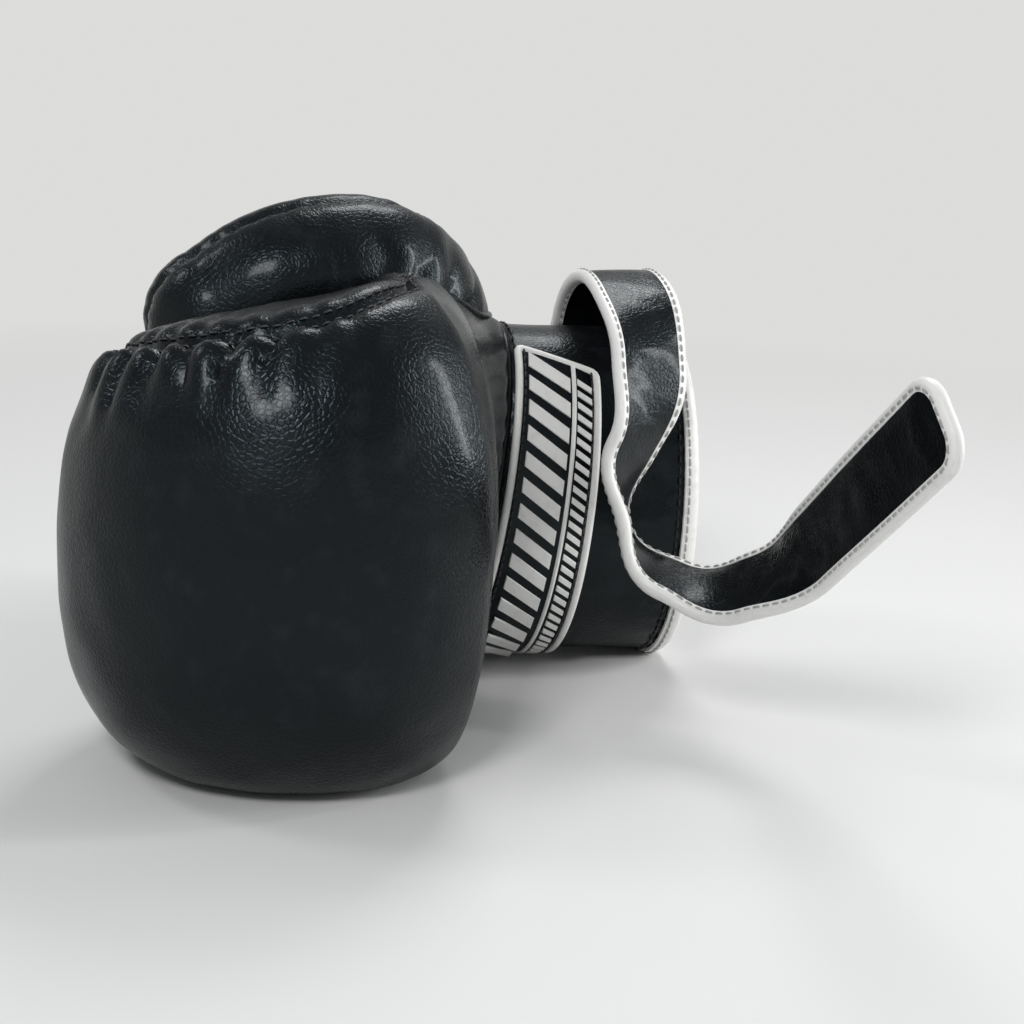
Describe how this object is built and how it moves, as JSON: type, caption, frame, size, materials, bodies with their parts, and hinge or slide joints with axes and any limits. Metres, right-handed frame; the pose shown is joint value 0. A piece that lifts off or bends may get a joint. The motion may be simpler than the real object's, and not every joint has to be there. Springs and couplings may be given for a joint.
{
  "type": "boxing glove",
  "caption": "Padded left-hand boxing glove with a sewn thumb, a bound cuff split at the palm, and a wrap-around hook-and-loop strap that opens and closes.",
  "frame": {"origin": "centre of the flat under the mitt, on the little-finger side, that the glove rests on", "axes": "-X towards the fist, +Y towards the palm, -Y towards the back of the hand, +Z towards the thumb; the cuff runs to +X, bent 28 degrees towards -Y"},
  "size_m": [0.2442, 0.2429, 0.1611],
  "materials": {
    "back_foam": "dense foam",
    "back_leather": "glossy grained leather",
    "cuff_foam": "dense foam",
    "cuff_leather": "glossy grained leather",
    "cuff_lining": "woven lining",
    "grip_bar": "dense foam",
    "hand_lining": "woven lining",
    "hook_patch": "hook and loop pile",
    "knuckle_foam": "dense foam",
    "loop_patch": "hook and loop pile",
    "palm_foam": "dense foam",
    "palm_leather": "glossy grained leather",
    "rim_binding": "satin vinyl",
    "slit_gusset": "elastic cloth",
    "strap_1": "glossy grained leather",
    "strap_10": "glossy grained leather",
    "strap_2": "glossy grained leather",
    "strap_3": "glossy grained leather",
    "strap_4": "glossy grained leather",
    "strap_5": "glossy grained leather",
    "strap_6": "glossy grained leather",
    "strap_7": "glossy grained leather",
    "strap_8": "glossy grained leather",
    "strap_9": "glossy grained leather",
    "strap_binding_rim_1": "satin vinyl",
    "strap_binding_rim_2": "satin vinyl",
    "strap_binding_rim_3": "satin vinyl",
    "strap_binding_rim_4": "satin vinyl",
    "strap_binding_rim_5": "satin vinyl",
    "strap_binding_rim_6": "satin vinyl",
    "strap_binding_rim_7": "satin vinyl",
    "strap_binding_rim_8": "satin vinyl",
    "strap_binding_rim_9": "satin vinyl",
    "strap_binding_tip": "satin vinyl",
    "strap_binding_wrist_1": "satin vinyl",
    "strap_binding_wrist_2": "satin vinyl",
    "strap_binding_wrist_3": "satin vinyl",
    "strap_binding_wrist_4": "satin vinyl",
    "strap_binding_wrist_5": "satin vinyl",
    "strap_binding_wrist_6": "satin vinyl",
    "strap_binding_wrist_7": "satin vinyl",
    "strap_binding_wrist_8": "satin vinyl",
    "strap_binding_wrist_9": "satin vinyl",
    "strap_root": "glossy grained leather",
    "thumb_foam": "dense foam",
    "thumb_inner_leather": "glossy grained leather",
    "thumb_lining": "woven lining",
    "thumb_outer_leather": "glossy grained leather",
    "wrist_panel": "glossy grained leather",
    "wrist_panel_piping": "satin vinyl"
  },
  "bodies": {
    "glove": {"back_foam": "back_foam", "back_leather": "back_leather", "cuff_foam": "cuff_foam", "cuff_leather": "cuff_leather", "cuff_lining": "cuff_lining", "grip_bar": "grip_bar", "hand_lining": "hand_lining", "knuckle_foam": "knuckle_foam", "loop_patch": "loop_patch", "palm_foam": "palm_foam", "palm_leather": "palm_leather", "rim_binding": "rim_binding", "slit_gusset": "slit_gusset", "strap_root": "strap_root", "thumb_foam": "thumb_foam", "thumb_inner_leather": "thumb_inner_leather", "thumb_lining": "thumb_lining", "thumb_outer_leather": "thumb_outer_leather", "wrist_panel": "wrist_panel", "wrist_panel_piping": "wrist_panel_piping"},
    "strap_stretch_1": {"strap_1": "strap_1", "strap_2": "strap_2", "strap_3": "strap_3", "strap_binding_rim_1": "strap_binding_rim_1", "strap_binding_rim_2": "strap_binding_rim_2", "strap_binding_rim_3": "strap_binding_rim_3", "strap_binding_wrist_1": "strap_binding_wrist_1", "strap_binding_wrist_2": "strap_binding_wrist_2", "strap_binding_wrist_3": "strap_binding_wrist_3"},
    "strap_stretch_4": {"strap_4": "strap_4", "strap_binding_rim_4": "strap_binding_rim_4", "strap_binding_wrist_4": "strap_binding_wrist_4"},
    "strap_stretch_5": {"strap_5": "strap_5", "strap_binding_rim_5": "strap_binding_rim_5", "strap_binding_wrist_5": "strap_binding_wrist_5"},
    "strap_stretch_6": {"strap_6": "strap_6", "strap_binding_rim_6": "strap_binding_rim_6", "strap_binding_wrist_6": "strap_binding_wrist_6"},
    "strap_stretch_7": {"strap_7": "strap_7", "strap_binding_rim_7": "strap_binding_rim_7", "strap_binding_wrist_7": "strap_binding_wrist_7"},
    "strap_stretch_8": {"strap_8": "strap_8", "strap_binding_rim_8": "strap_binding_rim_8", "strap_binding_wrist_8": "strap_binding_wrist_8"},
    "strap_stretch_9": {"strap_9": "strap_9", "strap_binding_rim_9": "strap_binding_rim_9", "strap_binding_wrist_9": "strap_binding_wrist_9"},
    "strap_stretch_10": {"hook_patch": "hook_patch", "strap_10": "strap_10", "strap_binding_tip": "strap_binding_tip"}
  },
  "joints": [
    {"name": "strap_hinge_1", "type": "hinge", "parent": "glove", "child": "strap_stretch_1", "pos_m": [0.15368, 0.0511, 0.1061], "axis": [0.8829, -0.4695, 0], "range_deg": [-3.31, 22.09]},
    {"name": "strap_hinge_4", "type": "hinge", "parent": "strap_stretch_1", "child": "strap_stretch_4", "pos_m": [0.1223, -0.00792, 0.12407], "axis": [-0.5438, -0.5972, -0.5897], "range_deg": [-3.29, 19.09]},
    {"name": "strap_hinge_5", "type": "hinge", "parent": "strap_stretch_4", "child": "strap_stretch_5", "pos_m": [0.11113, -0.02279, 0.09803], "axis": [-0.8654, -0.0593, -0.4976], "range_deg": [-5.99, 37.13]},
    {"name": "strap_hinge_6", "type": "hinge", "parent": "strap_stretch_5", "child": "strap_stretch_6", "pos_m": [0.10217, -0.01639, 0.07448], "axis": [0.6669, 0.3469, -0.6594], "range_deg": [-10.71, 68.59]},
    {"name": "strap_hinge_7", "type": "hinge", "parent": "strap_stretch_6", "child": "strap_stretch_7", "pos_m": [0.10185, -0.02698, 0.05073], "axis": [0.7158, 0.6928, 0.0881], "range_deg": [-13.48, 87.01]},
    {"name": "strap_hinge_8", "type": "hinge", "parent": "strap_stretch_7", "child": "strap_stretch_8", "pos_m": [0.11231, -0.05185, 0.04323], "axis": [0.7302, 0.6143, 0.299], "range_deg": [-15, 97.15]},
    {"name": "strap_hinge_9", "type": "hinge", "parent": "strap_stretch_8", "child": "strap_stretch_9", "pos_m": [0.11411, -0.07984, 0.05862], "axis": [0.4965, 0.7425, 0.4496], "range_deg": [-12.23, 78.72]},
    {"name": "strap_hinge_10", "type": "hinge", "parent": "strap_stretch_9", "child": "strap_stretch_10", "pos_m": [0.09949, -0.10902, 0.08505], "axis": [0.2256, 0.6608, 0.7158], "range_deg": [-7.04, 44.07]}
  ],
  "couplings": [
    {"joint": "strap_hinge_4", "follows": "strap_hinge_1", "ratio": 0.8416},
    {"joint": "strap_hinge_5", "follows": "strap_hinge_1", "ratio": 1.6583},
    {"joint": "strap_hinge_6", "follows": "strap_hinge_1", "ratio": 3.0827},
    {"joint": "strap_hinge_7", "follows": "strap_hinge_1", "ratio": 3.9167},
    {"joint": "strap_hinge_8", "follows": "strap_hinge_1", "ratio": 4.3758},
    {"joint": "strap_hinge_9", "follows": "strap_hinge_1", "ratio": 3.5413},
    {"joint": "strap_hinge_10", "follows": "strap_hinge_1", "ratio": 1.9728}
  ]
}
